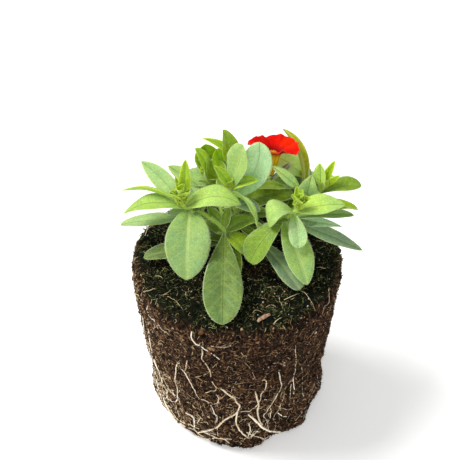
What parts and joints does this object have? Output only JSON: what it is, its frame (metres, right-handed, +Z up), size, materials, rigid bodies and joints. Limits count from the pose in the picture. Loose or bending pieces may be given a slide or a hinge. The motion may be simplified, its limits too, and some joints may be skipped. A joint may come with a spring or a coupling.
{
  "type": "calibrachoa plant with bare root ball",
  "caption": "Young bedding plant lifted from its pot: leafy stems and an open trumpet flower over a bare root ball of peat bound by fine pale roots.",
  "frame": {"origin": "centre of the root ball's flat foot, on the surface that it stands on", "axes": "+Z up along the root ball, -Y towards the front, +X to the right as seen from the front"},
  "size_m": [0.1096, 0.0991, 0.1435],
  "materials": {
    "peat": "matte, fibrous",
    "root": "matte",
    "leaf": "soft satin, finely hairy",
    "petal": "velvety",
    "stamen": "matte"
  },
  "bodies": {
    "root": {"peat_block": "peat", "root_net": "root", "shoot_left": "leaf", "shoot_centre": "leaf", "shoot_back_left": "leaf", "shoot_back": "leaf", "shoot_upright": "leaf", "shoot_right": "leaf", "shoot_back_right": "leaf", "shoot_flower": "leaf", "corolla": "petal", "stamens": "stamen"}
  },
  "joints": []
}
